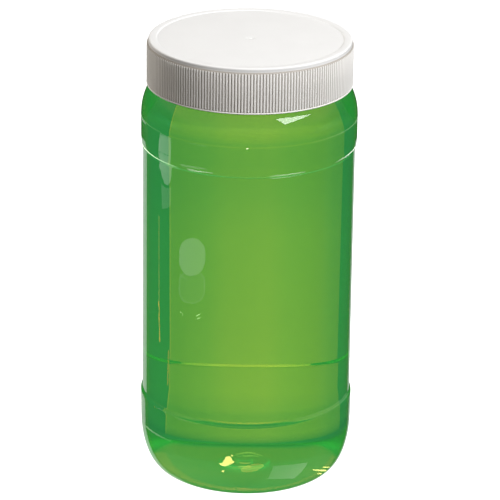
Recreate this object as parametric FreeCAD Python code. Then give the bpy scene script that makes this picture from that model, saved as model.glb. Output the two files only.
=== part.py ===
"""Wide-mouth disinfectant jar: blown jar, ribbed screw cap, foam liner and the solution inside.

Units are millimetres. The jar stands on Z = 0 with its axis on +Z.
"""
import FreeCAD, Part
import math
import os

# ---- Heights, from the standing ring up ----
TOTAL_H = 203.0
CAP_BOTTOM_Z = 182.4
HEEL_TOP_Z = 23.8
LOWER_PANEL_Z = 37.9       # the label panel ends here, in a small step out to the lower band
LOWER_STEP_Z = 36.5        # foot of that step
LOWER_ROUND_Z = 35.4       # the lower band reaches its full size here
UPPER_PANEL_Z = 154.05     # the label panel starts here, in a small step in from the upper band
UPPER_STEP_Z = 154.4       # head of that step
UPPER_ROUND_Z = 158.9      # the upper band starts to round in to the step here
SHOULDER_Z = 168.6         # the wall starts to curve in to the neck

# ---- Outer radii of the jar ----
STANDING_R = 38.0
HEEL_R = 47.9
BAND_R = 48.08
LOWER_STEP_R = 47.88       # the rounded end of the lower band, where it steps in to the panel
UPPER_STEP_R = 47.68       # the same for the upper band
PANEL_R = 47.27
SHOULDER_ARC_R = 24.5
NECK_R = 43.1

# ---- Wall, base and neck ----
WALL = 0.7
FLOOR_T = 1.3
NECK_WALL = 2.1
LIP_ROUND_R = 0.6
PUSH_UP_H = 5.0            # height of the middle of the base above the standing ring
STANDING_FLAT = 1.2        # width of the flat ring the jar stands on
DOME_ROUND = 2.2           # radius of the pushed-up dome, as a share of its run
GATE_RING_R = 8.0
GATE_RING_H = 0.6
GATE_PIP_R = 2.2
GATE_PIP_H = 0.5

# ---- Screw cap ----
CAP_R = 45.75              # over the bottom bead
RIB_COUNT = 210
RIB_DEPTH = 0.42
RIB_LAND = 0.56            # share of the pitch that is the top of a rib
RIB_ROOT_SHARE = 0.2       # half the flat between two ribs, as a share of the gap
RIB_SINK = 0.35            # how deep the ring of ribs runs into the skirt
BEAD_PROUD = 0.05          # how far the bottom bead stands out past the ribs
BEAD_CHAMFER = 0.2
CAP_INNER_R = 44.4
BEAD_H = 0.8
RIB_TOP_DROP = 2.3         # from the top of the cap down to the ribs
RIM_R = 45.0               # outer radius of the smooth edge above the ribs
RIM_ROUND_R = 0.9
RIM_LEDGE_DROP = 1.75
PANEL_RECESS = 0.35
RIM_W = 3.4
PANEL_STEP_RUN = 0.5
CAP_TOP_T = 1.35

# ---- Thread: right-hand, five turns to the inch ----
PITCH = 5.08
THREAD_TURNS = 1.25
THREAD_H = 1.0
THREAD_ROOT_W = 2.3
THREAD_TIP_W = 1.0
THREAD_SINK = 0.35         # how deep the thread's root runs into the wall it stands on
THREAD_END_SINK = 0.1      # how far the crest is under the wall at the thread's two ends
THREAD_END_TIP = 0.4       # width of the crest at the two ends, as a share of its full width
THREAD_END_ROOT = 0.6      # the same for the root
RUN_OUT_DEG = 30.0
THREAD_STEP_DEG = 10.0
THREAD_TOP_DROP = 3.0      # from the lip down to the middle of the jar's thread, where it starts
CAP_THREAD_DROP = 2.0      # how far the cap's thread runs below the jar's, with the cap closed

# ---- Liner and solution ----
LINER_T = 1.0
LINER_R = 44.0
LIQUID_TOP_Z = 190.0
LIQUID_GAP = 0.1

LIP_Z = TOTAL_H - PANEL_RECESS - CAP_TOP_T - LINER_T


def point(radius, z):
    """A point of a turned outline, as a vector in the XZ plane."""
    return FreeCAD.Vector(radius, 0.0, z)


def line(start, end):
    """A straight edge of an outline."""
    return Part.makeLine(point(*start), point(*end))


def arc(start, middle, end):
    """A round edge of an outline through three points."""
    return Part.Arc(point(*start), point(*middle), point(*end)).toShape()


def tangent_arc(centre, radius, start_deg, end_deg):
    """A round edge of an outline, given by its centre and two angles from +X."""
    angles = (start_deg, (start_deg + end_deg) / 2.0, end_deg)
    places = [
        (centre[0] + radius * math.cos(math.radians(a)), centre[1] + radius * math.sin(math.radians(a)))
        for a in angles
    ]
    return arc(*places)


def quarter_ellipse(centre, half_width, half_height):
    """The lower outer quarter of an ellipse, from its lowest point round to its side."""
    low = FreeCAD.Vector(centre[0], 0.0, centre[1] - half_height)
    side = FreeCAD.Vector(centre[0] + half_width, 0.0, centre[1])
    ellipse = Part.Ellipse(low, side, point(*centre))
    return Part.ArcOfEllipse(ellipse, 0.0, math.pi / 2.0).toShape()


def turned(edges):
    """The solid made by turning a closed outline about the Z axis."""
    face = Part.Face(Part.Wire(Part.__sortEdges__(edges)))
    solid = face.revolve(FreeCAD.Vector(0, 0, 0), FreeCAD.Vector(0, 0, 1), 360.0)
    return solid if solid.Volume > 0 else solid.reversed()


def bulge(start, end, radius):
    """The middle point of an arc from start to end that bulges away from the Z axis."""
    chord_r = end[0] - start[0]
    chord_z = end[1] - start[1]
    chord = math.hypot(chord_r, chord_z)
    rise = radius - math.sqrt(radius * radius - chord * chord / 4.0)
    side = 1.0 if chord_z > 0 else -1.0
    return (
        (start[0] + end[0]) / 2.0 + side * rise * chord_z / chord,
        (start[1] + end[1]) / 2.0 - side * rise * chord_r / chord,
    )


def band_end_radius(height, drop):
    """Radius of the arc that rounds off a band over a given height and drop in radius."""
    return (height * height + drop * drop) / (2.0 * drop)


def shoulder_end(inset, neck_r):
    """Where the shoulder's arc, set in by a wall's thickness, meets the neck."""
    centre_r = BAND_R - SHOULDER_ARC_R
    radius = SHOULDER_ARC_R - inset
    return (neck_r, SHOULDER_Z + math.sqrt(radius * radius - (neck_r - centre_r) ** 2))


def wall_edges(inset, neck_r):
    """The side of the jar from the top of the heel to the foot of the neck, set in by inset."""
    heel = (HEEL_R - inset, HEEL_TOP_Z)
    low_band = (BAND_R - inset, LOWER_ROUND_Z)
    low_step = (LOWER_STEP_R - inset, LOWER_STEP_Z)
    low_panel = (PANEL_R - inset, LOWER_PANEL_Z)
    top_panel = (PANEL_R - inset, UPPER_PANEL_Z)
    top_step = (UPPER_STEP_R - inset, UPPER_STEP_Z)
    top_band = (BAND_R - inset, UPPER_ROUND_Z)
    shoulder = (BAND_R - inset, SHOULDER_Z)
    end = shoulder_end(inset, neck_r)
    low_radius = band_end_radius(LOWER_STEP_Z - LOWER_ROUND_Z, BAND_R - LOWER_STEP_R)
    top_radius = band_end_radius(UPPER_ROUND_Z - UPPER_STEP_Z, BAND_R - UPPER_STEP_R)
    low_arc = bulge(low_band, low_step, low_radius)
    top_arc = bulge(top_step, top_band, top_radius)
    return [
        line(heel, low_band),
        arc(low_band, low_arc, low_step),
        line(low_step, low_panel),
        line(low_panel, top_panel),
        line(top_panel, top_step),
        arc(top_step, top_arc, top_band),
        line(top_band, shoulder),
        arc(shoulder, bulge(shoulder, end, SHOULDER_ARC_R - inset), end),
    ]


def dome_edges(lift, ring_r):
    """The pushed-up middle of the base, from the axis out to ring_r, raised by lift."""
    pip = (GATE_PIP_R, PUSH_UP_H + lift)
    foot = (GATE_PIP_R + GATE_PIP_H, PUSH_UP_H + lift - GATE_PIP_H)
    inner = (GATE_RING_R, foot[1])
    outer = (GATE_RING_R + GATE_RING_H, foot[1] - GATE_RING_H)
    rim = (ring_r, lift)
    crown = bulge(rim, outer, (ring_r - outer[0]) * DOME_ROUND)
    return [
        line((0.0, pip[1]), pip),
        line(pip, foot),
        line(foot, inner),
        line(inner, outer),
        arc(outer, crown, rim),
    ]


def jar_outline():
    """Outline of the jar without its thread."""
    inner_neck_r = NECK_R - NECK_WALL
    outer_neck = shoulder_end(0.0, NECK_R)
    inner_neck = shoulder_end(WALL, inner_neck_r)
    lip_z = LIP_Z - LIP_ROUND_R
    lip_out = (NECK_R - LIP_ROUND_R, lip_z)
    lip_in = (inner_neck_r + LIP_ROUND_R, lip_z)
    ring_r = STANDING_R - STANDING_FLAT
    edges = [
        quarter_ellipse((STANDING_R, HEEL_TOP_Z), HEEL_R - STANDING_R, HEEL_TOP_Z),
        line((ring_r, 0.0), (STANDING_R, 0.0)),
        line(outer_neck, (NECK_R, lip_z)),
        tangent_arc(lip_out, LIP_ROUND_R, 0.0, 90.0),
        line((lip_out[0], LIP_Z), (lip_in[0], LIP_Z)),
        tangent_arc(lip_in, LIP_ROUND_R, 90.0, 180.0),
        line((inner_neck_r, lip_z), inner_neck),
        line((0.0, PUSH_UP_H), (0.0, PUSH_UP_H + FLOOR_T)),
    ]
    edges += wall_edges(0.0, NECK_R)
    edges += dome_edges(0.0, ring_r)
    return edges + inside_edges(0.0)


def inside_edges(gap):
    """The inside of the jar from the axis to the foot of the neck, drawn gap smaller."""
    inset = WALL + gap
    lift = FLOOR_T + gap
    half_width = HEEL_R - inset - STANDING_R
    ring_r = STANDING_R - STANDING_FLAT
    edges = [
        quarter_ellipse((STANDING_R, HEEL_TOP_Z), half_width, HEEL_TOP_Z - lift),
        line((ring_r, lift), (STANDING_R, lift)),
    ]
    edges += wall_edges(inset, NECK_R - NECK_WALL - gap)
    return edges + dome_edges(lift, ring_r)


def thread_section(angle_deg, z, root_r, tip_r, height_share):
    """One cross-section of a thread at an angle round the axis."""
    toward_tip = 1.0 if tip_r > root_r else -1.0
    sunk_r = root_r - toward_tip * THREAD_SINK
    end_share = 1.0 - height_share
    tip = root_r + (tip_r - root_r) * height_share - toward_tip * THREAD_END_SINK * end_share
    tip_half = THREAD_TIP_W / 2.0 * (height_share + THREAD_END_TIP * end_share)
    root_half = THREAD_ROOT_W / 2.0 * (height_share + THREAD_END_ROOT * end_share)
    outline = [(sunk_r, z - root_half), (tip, z - tip_half), (tip, z + tip_half), (sunk_r, z + root_half)]
    turn = math.radians(angle_deg)
    places = [FreeCAD.Vector(r * math.cos(turn), r * math.sin(turn), height) for r, height in outline]
    return Part.makePolygon(places + [places[0]])


def thread(root_r, tip_r, start_z, start_deg):
    """A right-hand thread that rises from start_z, with run-outs at both ends."""
    total_deg = THREAD_TURNS * 360.0
    count = int(round(total_deg / THREAD_STEP_DEG))
    sections = []
    for i in range(count + 1):
        swept = total_deg * i / count
        from_end = min(swept, total_deg - swept)
        share = min(1.0, from_end / RUN_OUT_DEG)
        z = start_z + PITCH * swept / 360.0
        sections.append(thread_section(start_deg + swept, z, root_r, tip_r, share))
    return Part.makeLoft(sections, True, False, False, 3)


def make_jar_body():
    """The jar: a turned shell with a thread on the outside of its neck."""
    low_z = LIP_Z - THREAD_TOP_DROP - THREAD_TURNS * PITCH
    return turned(jar_outline()).fuse(thread(NECK_R, NECK_R + THREAD_H, low_z, 0.0)).removeSplitter()


def rib_face(z):
    """The ribbed outline of the cap's skirt, as a flat face at height z."""
    pitch = 2.0 * math.pi / RIB_COUNT
    land = pitch * RIB_LAND / 2.0
    root = pitch * (1.0 - RIB_LAND) * RIB_ROOT_SHARE
    root_r = CAP_R - RIB_DEPTH
    tip_r = CAP_R - BEAD_PROUD
    places = []
    for i in range(RIB_COUNT):
        middle = i * pitch
        for radius, turn in (
            (tip_r, middle - land),
            (tip_r, middle + land),
            (root_r, middle + pitch / 2.0 - root),
            (root_r, middle + pitch / 2.0 + root),
        ):
            places.append(FreeCAD.Vector(radius * math.cos(turn), radius * math.sin(turn), z))
    return Part.Face(Part.makePolygon(places + [places[0]]))


def cap_core_outline():
    """Outline of the cap without its ribs and thread: top, edge, skirt and bottom bead."""
    skirt_r = CAP_R - RIB_DEPTH - RIB_SINK
    ledge_r = CAP_R - RIB_DEPTH - RIB_SINK / 2.0
    ledge_z = TOTAL_H - RIM_LEDGE_DROP
    ribs_top_z = TOTAL_H - RIB_TOP_DROP
    panel_z = TOTAL_H - PANEL_RECESS
    roof_z = panel_z - CAP_TOP_T
    rim_in = RIM_R - RIM_W
    round_c = (RIM_R - RIM_ROUND_R, TOTAL_H - RIM_ROUND_R)
    bead_z = CAP_BOTTOM_Z + BEAD_H
    bead_r = CAP_R - BEAD_CHAMFER
    return [
        line((0.0, roof_z), (0.0, panel_z)),
        line((0.0, panel_z), (rim_in - PANEL_STEP_RUN, panel_z)),
        line((rim_in - PANEL_STEP_RUN, panel_z), (rim_in, TOTAL_H)),
        line((rim_in, TOTAL_H), (round_c[0], TOTAL_H)),
        tangent_arc(round_c, RIM_ROUND_R, 90.0, 0.0),
        line((RIM_R, round_c[1]), (RIM_R, ledge_z)),
        line((RIM_R, ledge_z), (ledge_r, ribs_top_z)),
        line((ledge_r, ribs_top_z), (skirt_r, ribs_top_z - RIB_SINK)),
        line((skirt_r, ribs_top_z - RIB_SINK), (skirt_r, bead_z)),
        line((skirt_r, bead_z), (bead_r, bead_z)),
        line((bead_r, bead_z), (CAP_R, bead_z - BEAD_CHAMFER)),
        line((CAP_R, bead_z - BEAD_CHAMFER), (CAP_R, CAP_BOTTOM_Z + BEAD_CHAMFER)),
        line((CAP_R, CAP_BOTTOM_Z + BEAD_CHAMFER), (bead_r, CAP_BOTTOM_Z)),
        line((bead_r, CAP_BOTTOM_Z), (CAP_INNER_R, CAP_BOTTOM_Z)),
        line((CAP_INNER_R, CAP_BOTTOM_Z), (CAP_INNER_R, roof_z)),
        line((CAP_INNER_R, roof_z), (0.0, roof_z)),
    ]


def make_ribs():
    """The ring of upright ribs round the skirt, standing on the bottom bead."""
    low_z = CAP_BOTTOM_Z + BEAD_H / 2.0
    height = TOTAL_H - RIB_TOP_DROP - low_z
    prism = rib_face(low_z).extrude(FreeCAD.Vector(0, 0, height))
    hole_r = (CAP_INNER_R + CAP_R - RIB_DEPTH - RIB_SINK) / 2.0
    hole = Part.makeCylinder(hole_r, height + 2.0, FreeCAD.Vector(0, 0, low_z - 1.0))
    return prism.cut(hole)


def make_screw_cap():
    """The cap: a turned cup with ribs outside and a thread inside its skirt."""
    low_z = LIP_Z - THREAD_TOP_DROP - THREAD_TURNS * PITCH - CAP_THREAD_DROP
    cap = turned(cap_core_outline()).fuse(thread(CAP_INNER_R, CAP_INNER_R - THREAD_H, low_z, 0.0))
    return cap.fuse(make_ribs())


def make_cap_liner():
    """The foam disc between the cap's roof and the jar's lip."""
    return Part.makeCylinder(LINER_R, LINER_T, FreeCAD.Vector(0, 0, LIP_Z))


def make_solution():
    """The liquid: the inside of the jar, filled up into the neck."""
    neck_r = NECK_R - NECK_WALL - LIQUID_GAP
    foot = shoulder_end(WALL + LIQUID_GAP, neck_r)
    edges = inside_edges(LIQUID_GAP)
    edges += [
        line(foot, (neck_r, LIQUID_TOP_Z)),
        line((neck_r, LIQUID_TOP_Z), (0.0, LIQUID_TOP_Z)),
        line((0.0, LIQUID_TOP_Z), (0.0, PUSH_UP_H + FLOOR_T + LIQUID_GAP)),
    ]
    return turned(edges)


NODES = {
    "jar_body": make_jar_body,
    "screw_cap": make_screw_cap,
    "cap_liner": make_cap_liner,
    "disinfectant_solution": make_solution,
}

os.makedirs("parts", exist_ok=True)
for name, make in NODES.items():
    shape = make()
    shape.exportStep("parts/%s.step" % name)
    print(name, "valid", shape.isValid(), "solids", len(shape.Solids), "volume", round(shape.Volume, 1))
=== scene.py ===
"""Looks for the disinfectant jar: clear jar, green solution, ribbed cap and liner, in a small studio."""
import bpy
import math
from mathutils import Matrix, Vector


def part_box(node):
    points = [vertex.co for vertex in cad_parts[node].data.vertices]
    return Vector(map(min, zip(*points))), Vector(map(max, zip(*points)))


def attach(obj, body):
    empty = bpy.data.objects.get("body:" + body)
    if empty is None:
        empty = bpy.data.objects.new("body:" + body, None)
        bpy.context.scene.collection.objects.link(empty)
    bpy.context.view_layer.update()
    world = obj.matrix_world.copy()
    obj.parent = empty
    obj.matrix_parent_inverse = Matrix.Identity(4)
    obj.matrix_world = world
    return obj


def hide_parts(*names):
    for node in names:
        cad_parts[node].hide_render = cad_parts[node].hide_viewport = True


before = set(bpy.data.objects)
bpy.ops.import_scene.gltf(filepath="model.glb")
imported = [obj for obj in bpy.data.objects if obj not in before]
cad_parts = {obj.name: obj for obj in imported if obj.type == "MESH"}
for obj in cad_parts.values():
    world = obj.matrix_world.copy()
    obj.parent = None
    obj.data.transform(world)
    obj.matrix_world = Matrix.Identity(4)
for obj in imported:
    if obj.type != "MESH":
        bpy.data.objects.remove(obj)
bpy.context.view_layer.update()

MM = 0.001

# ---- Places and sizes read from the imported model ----
JAR_LOW, JAR_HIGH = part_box("jar_body")
CAP_LOW, CAP_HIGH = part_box("screw_cap")
LINER_LOW, LINER_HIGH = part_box("cap_liner")
LIQUID_LOW, LIQUID_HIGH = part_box("disinfectant_solution")

LIP_Z = JAR_HIGH.z
CAP_BOTTOM = CAP_LOW.z
CAP_TOP = CAP_HIGH.z
BAND_R = JAR_HIGH.x
CAP_R = CAP_HIGH.x

# ---- Jar, in metres ----
WALL = 0.7 * MM
FLOOR_T = 1.3 * MM
NECK_R = 43.1 * MM
NECK_WALL = 2.1 * MM
HEEL_R = BAND_R - 0.18 * MM
HEEL_TOP = 23.8 * MM
STANDING_R = 38.0 * MM
STANDING_FLAT = 1.2 * MM
PANEL_R = BAND_R - 0.81 * MM
LOWER_STEP_R = BAND_R - 0.2 * MM
UPPER_STEP_R = BAND_R - 0.4 * MM
LOWER_PANEL = 37.9 * MM
LOWER_STEP = 36.5 * MM
LOWER_ROUND = 35.4 * MM
UPPER_PANEL = 154.05 * MM
UPPER_STEP = 154.4 * MM
UPPER_ROUND = 158.9 * MM
SHOULDER_Z = 168.6 * MM
SHOULDER_ARC = 24.5 * MM
PUSH_UP = 5.0 * MM
GATE_RING_R = 8.0 * MM
GATE_RING_H = 0.27 * MM
GATE_PIP_R = 2.2 * MM
GATE_PIP_H = 0.5 * MM
JAR_SEGMENTS = 288
CORNER = 0.15 * MM

GUARD_SHARE = 0.25
DOME_ROUND = 2.2
LIP_ROUND = 0.6 * MM
BEAD_HALF = 0.7 * MM
BEAD_RISE = 0.045 * MM
WALL_ROW = 3 * MM
PANEL_ROW = 6 * MM
DOME_POINTS = 16
HEEL_POINTS = 28
LOWER_ROUND_POINTS = 5
UPPER_ROUND_POINTS = 8
SHOULDER_POINTS = 14
BEAD_POINTS = 8
LIP_POINTS = 5

# ---- Solution ----
LIQUID_OVERLAP = 0.04 * MM
MENISCUS_H = 1.6 * MM
MENISCUS_RUN = 6 * MM
MENISCUS_FADE = 1.4 * MM
MENISCUS_POINTS = 10
MENISCUS_CROWDING = 1.5
SURFACE_RINGS = (0.6, 0.3, 0.0)

# ---- Thread, right-hand ----
PITCH = 5.08 * MM
THREAD_TURNS = 1.25
THREAD_H = 1.0 * MM
THREAD_ROOT_W = 2.3 * MM
THREAD_TIP_W = 1.0 * MM
THREAD_TOP_DROP = 3.0 * MM
CAP_THREAD_DROP = 2.0 * MM
RUN_OUT = math.radians(30.0)
THREAD_ROW = 0.25 * MM

# ---- Cap ----
RIB_COUNT = 210
RIB_PROFILE = (1.0, 1.0, 1.0, 0.35, 0.0, 0.35)
RIB_STEPS = len(RIB_PROFILE)
RIB_HEAD_SHARE = 0.55
RIB_HEAD_RUN = 0.45 * MM
RIB_FOOT_RUN = 0.25 * MM
RIB_FOOT_ROUND = 0.02 * MM
CAP_SOFT = 0.1 * MM
LEDGE_IN = 0.06 * MM
LEDGE_OUT = 0.04 * MM
LEDGE_SOFT = 0.08 * MM
ROOF_ROUND = 0.8 * MM
MOUTH_FLARE = 0.12 * MM
MOUTH_ROW = 0.4 * MM
ROOF_ROW = 1.2 * MM
BEAD_ROUND_POINTS = 8
RIM_ROUND_POINTS = 8
ROOF_ROUND_POINTS = 4
# The top panel's outline inside the rim: distance in from the rim, then drop from the top.
PANEL_EDGE = ((0.0, 0.0), (0.12 * MM, 0.05 * MM))
# The step down to the panel and the gate mark in its middle: height above the panel.
PANEL_STEP = ((0.5 * MM, 0.05 * MM), (0.65 * MM, 0.0), (0.8 * MM, 0.0))
PANEL_RINGS = (0.8, 0.55, 0.3, 0.06)
GATE_MARK = (
    (2.1 * MM, 0.0), (1.95 * MM, -0.07 * MM), (0.9 * MM, -0.07 * MM),
    (0.75 * MM, 0.05 * MM), (0.35 * MM, 0.08 * MM),
)
RIB_DEPTH = 0.42 * MM
CAP_INNER_R = 44.4 * MM
CAP_INNER_SEGMENTS = 420
BEAD_H = 0.8 * MM
BEAD_PROUD = 0.05 * MM
RIM_R = 45.0 * MM
RIM_ROUND = 0.9 * MM
RIM_W = 3.4 * MM
RIM_LEDGE_DROP = 1.75 * MM
RIB_TOP_DROP = 2.3 * MM
PANEL_RECESS = 0.35 * MM
CAP_TOP_T = 1.35 * MM
CAP_SHARP_DEG = 32.0

# ---- Liner ----
LINER_SEGMENTS = 192
LINER_SOFT = 0.3 * MM
LINER_ROUND_POINTS = 4
PRINT_DEPTH = 0.08 * MM
PRINT_SLOPE_IN = 0.4 * MM
PRINT_SLOPE_OUT = 0.2 * MM

# ---- Materials ----
POLYPROPYLENE_IOR = 1.49
PET_IOR = 1.57
LIQUID_IOR = 1.34
LIQUID_ABSORBS = (0.38, 0.716, 0.016, 1.0)
LIQUID_DENSITY = 23.6
# Painted glow: the liquid gives off a faint green light of its own, though it is no lamp.
LIQUID_GLOW = (0.13, 1.0, 0.28, 1.0)
LIQUID_GLOW_STRENGTH = 0.07
# Painted glow: the foam liner gives off light of its own, standing in for light coming through the cap.
FOAM_GLOW = (1.0, 1.0, 0.95, 1.0)
FOAM_GLOW_STRENGTH = 0.3
CAP_SPECULAR = 0.22
# Two ends of a colour that a ramp moves between.
CAP_TINTS = ((0.84, 0.84, 0.837), (0.855, 0.855, 0.852))
# Painted shade on the cap: greyer down between the ribs, and darker round the rim's outer edge.
RIB_GAP_SHADE_TINTS = ((0.5, 0.465, 0.425), (1.0, 0.99, 0.97))
RIM_EDGE_SHADE_TINTS = ((1.0, 1.0, 1.0), (0.8, 0.8, 0.8))
RIM_SHADE_RUN = 0.5 * MM
CAP_ROUGH = ((0.36, 0.36, 0.36), (0.5, 0.5, 0.5))
PET_TINTS = ((0.985, 0.995, 0.985), (1.0, 1.0, 1.0))
LIQUID_TINTS = ((0.97, 1.0, 0.97), (1.0, 1.0, 1.0))
FOAM_TINTS = ((0.78, 0.78, 0.75), (0.88, 0.88, 0.86))
FOAM_ROUGH = ((0.6, 0.6, 0.6), (0.85, 0.85, 0.85))

# ---- Studio: the floor and what the air round it shows ----
FLOOR_HALF = 4.0
FLOOR_TINTS = ((0.93, 0.93, 0.93), (0.95, 0.95, 0.95))
BACKDROP = (1.0, 1.0, 1.0, 1.0)
FADE_NEAR = 0.25
FADE_FAR = 0.9
HORIZON = (0.03, 0.028, 0.025)
AIR = (0.20, 0.19, 0.175)
AIR_FULL_AT = 0.3
BLACK = (0.0, 0.0, 0.0)
PLAIN = (1.0, 1.0, 1.0)

# ---- Studio: the tent that shows through the jar ----
# Azimuth 0 is behind the jar and positive to the right. Elevation 0 is level.
TENT_RADIUS = 8.0
TENT_GRID_DEG = 6.0
TEAL = (0.058, 0.292, 0.17)
SHADE = (0.04, 0.16, 0.10)
FRONT = (0.17, 0.34, 0.14)
# Azimuth, then the window's colour.
TENT_ROUND = [
    (-180.0, *FRONT), (-140.0, *FRONT), (-105.0, *SHADE),
    (-95.0, *SHADE), (-85.0, *TEAL), (-42.6, *TEAL),
    (-42.4, 0.34, 0.43, 0.16), (-34.0, 0.39, 0.46, 0.16), (-27.0, 0.53, 0.535, 0.18),
    (-19.0, 0.64, 0.61, 0.205), (-12.0, 0.73, 0.66, 0.245), (-5.6, 0.90, 0.71, 0.28),
    (0.0, 0.86, 0.69, 0.27), (5.7, 0.79, 0.66, 0.26), (12.0, 0.58, 0.58, 0.23),
    (24.0, 0.42, 0.49, 0.175), (28.4, 0.40, 0.47, 0.155), (28.6, 0.75, 0.55, 0.17),
    (29.0, 0.75, 0.55, 0.17), (29.2, *TEAL), (85.0, *TEAL),
    (95.0, *SHADE), (105.0, *SHADE), (140.0, *FRONT),
    (180.0, *FRONT),
]
# Elevation, then how much of the window's red, green and blue shows at that height.
TENT_RISE = [
    (-75.0, 2.6, 1.7, 1.4), (-45.0, 2.2, 1.6, 1.4), (-35.5, 1.8, 1.5, 1.3),
    (-34.5, 0.95, 0.92, 0.75), (-31.0, 0.90, 0.90, 0.75), (-27.0, 0.90, 0.90, 0.75),
    (-25.2, 0.90, 0.93, 0.8), (-24.4, 1.08, 1.06, 1.0), (-23.0, 1.08, 1.06, 1.0),
    (-22.0, 1.0, 1.0, 1.0), (-21.0, 0.94, 0.98, 1.0), (-20.0, 0.88, 0.96, 1.0),
    (-19.2, 0.72, 0.88, 0.97), (-18.8, 0.68, 0.85, 0.93), (-17.0, 0.70, 0.87, 0.95),
    (-13.0, 0.72, 0.88, 0.95), (-9.0, 0.45, 0.7, 0.9), (-6.0, 0.2, 0.55, 0.85),
]
# Elevation, then the colour above the windows, the same all round but for the lobes and the front.
TENT_ABOVE = [
    (-5.9, 0.05, 0.28, 0.22), (2.0, 0.05, 0.28, 0.20), (4.0, 0.02, 0.14, 0.09),
    (11.0, 0.02, 0.14, 0.09), (12.5, 0.06, 0.25, 0.15), (19.0, 0.29, 0.29, 0.125),
    (28.0, 0.30, 0.275, 0.12), (31.0, 0.38, 0.30, 0.12), (38.0, 0.32, 0.27, 0.115),
    (90.0, 0.25, 0.25, 0.11),
]
# The windows in front reach up past the others, from this azimuth on and fully after this run.
FRONT_FROM = 95.0
FRONT_RUN = 20.0
# Just above the windows the tent swells and fades four times round.
LOBE = 0.35
LOBE_TOP = 3.0
# Low down the windows look wider, as the mould line behind the jar sees them.
RIDGE_BELOW = -35.0
RIDGE_SPREAD = 0.6

# ---- Studio: cards that show as reflections ----
RIM_SHARE = 0.9
CAPSULE_TILT = 0.18
CAPSULE_POINTS = 32
CARD_STEP_DEG = 4
STREAK_STEP_DEG = 3
WHITE = (1.0, 1.0, 0.95)
GREENISH = (0.8, 1.0, 0.7)
WARM = (19.0, 13.5, 4.2)
PALE = (6.0, 5.4, 1.7)
# Painted highlight colour of the small glints under the oval.
SMALL_GLINT = (6.0, 9.0, 4.0)
LIME = (1.8, 3.0, 0.5)
GOLD = (3.5, 2.2, 0.3)
ORANGE = (4.0, 1.7, 0.3)
DULL_ORANGE = (1.2, 0.7, 0.2)
EDGE_ORANGE = (2.5, 0.8, 0.1)
SPARK = (16.0, 14.0, 11.0)
# Painted highlight colours for the gate's rings.
GATE_GLINT_FILL = (2.3, 1.0, 0.2)
GATE_GLINT_RIM = (4.5, 2.6, 0.4)
LINE_HALF = 0.3
FINE_HALF = 0.25
THIN_HALF = 0.15
CLOSE = 0.004
TOUCHING = 0.001
SMALL_FAR = 0.3
HEEL_FAR = 0.03

# ---- Studio: lights ----
AIM = Vector((0.0, 0.0, 0.1))
WARM_LIGHT = (1.0, 0.94, 0.86)
KEY_POWER = 20.5
RIM_POWER = 12.5
FILL_POWER = 2.7
TOP_POWER = 0.8
FLOOR_POWER = 150.0
SHADOW_SHARE = 0.12

# ---- Camera ----
CAMERA_PLACE = Vector((1.07, -1387.47, 638.02)) * MM
CAMERA_ELEVATION = math.radians(21.096)
CAMERA_ROLL = math.radians(0.774)
CAMERA_LENS = 237.46
SENSOR_W = 36.0


# ---------------------------------------------------------------- outlines
def arc_points(centre, radius, start_deg, end_deg, count):
    """Points of an arc in the (radius, height) plane."""
    angles = [math.radians(start_deg + (end_deg - start_deg) * i / count) for i in range(count + 1)]
    return [(centre[0] + radius * math.cos(a), centre[1] + radius * math.sin(a)) for a in angles]


def bulged(start, end, radius, count):
    """Points of an arc from start to end that bulges away from the axis."""
    middle = ((start[0] + end[0]) / 2, (start[1] + end[1]) / 2)
    run = (end[0] - start[0], end[1] - start[1])
    chord = math.hypot(*run)
    back = math.sqrt(radius * radius - chord * chord / 4)
    side = -1.0 if run[1] > 0 else 1.0
    centre = (middle[0] + side * back * run[1] / chord, middle[1] - side * back * run[0] / chord)
    first = math.degrees(math.atan2(start[1] - centre[1], start[0] - centre[0]))
    last = math.degrees(math.atan2(end[1] - centre[1], end[0] - centre[0]))
    if last - first > 180:
        last -= 360
    if last - first < -180:
        last += 360
    return arc_points(centre, radius, first, last, count)


def heel_points(half_width, low_z):
    """The elliptical heel, from the standing ring up to the lower band."""
    half_height = HEEL_TOP - low_z
    turns = [math.pi / 2 * i / HEEL_POINTS for i in range(HEEL_POINTS + 1)]
    return [
        (STANDING_R + half_width * math.sin(t), HEEL_TOP - half_height * math.cos(t))
        for t in turns
    ]


def round_end(height, drop):
    """Radius of the arc that rounds off a band over a given height and drop in radius."""
    return (height * height + drop * drop) / (2 * drop)


def shoulder_end(inset, neck_r):
    """Where the shoulder's arc, set in by a wall, meets the neck."""
    centre_r = BAND_R - SHOULDER_ARC
    radius = SHOULDER_ARC - inset
    return (neck_r, SHOULDER_Z + math.sqrt(radius * radius - (neck_r - centre_r) ** 2))


def straight(start, end, step):
    """Points of a straight run, both ends included, with one close to each end to keep corners crisp."""
    run = math.hypot(end[0] - start[0], end[1] - start[1])
    count = max(1, round(run / step))
    guard = min(CORNER / run, GUARD_SHARE)
    shares = [0.0, guard] + [i / count for i in range(1, count)] + [1.0 - guard, 1.0]
    return [(start[0] + (end[0] - start[0]) * s, start[1] + (end[1] - start[1]) * s) for s in shares]


def shoulder_bead(foot, inset):
    """The faint raised line where the band turns into the shoulder. The inside wall has none."""
    if inset:
        return []
    turns = [math.pi * 2 * i / BEAD_POINTS for i in range(1, BEAD_POINTS)]
    return [
        (foot[0] + BEAD_RISE * (1 - math.cos(t)) / 2, foot[1] - 2 * BEAD_HALF + BEAD_HALF * t / math.pi)
        for t in turns
    ]


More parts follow.
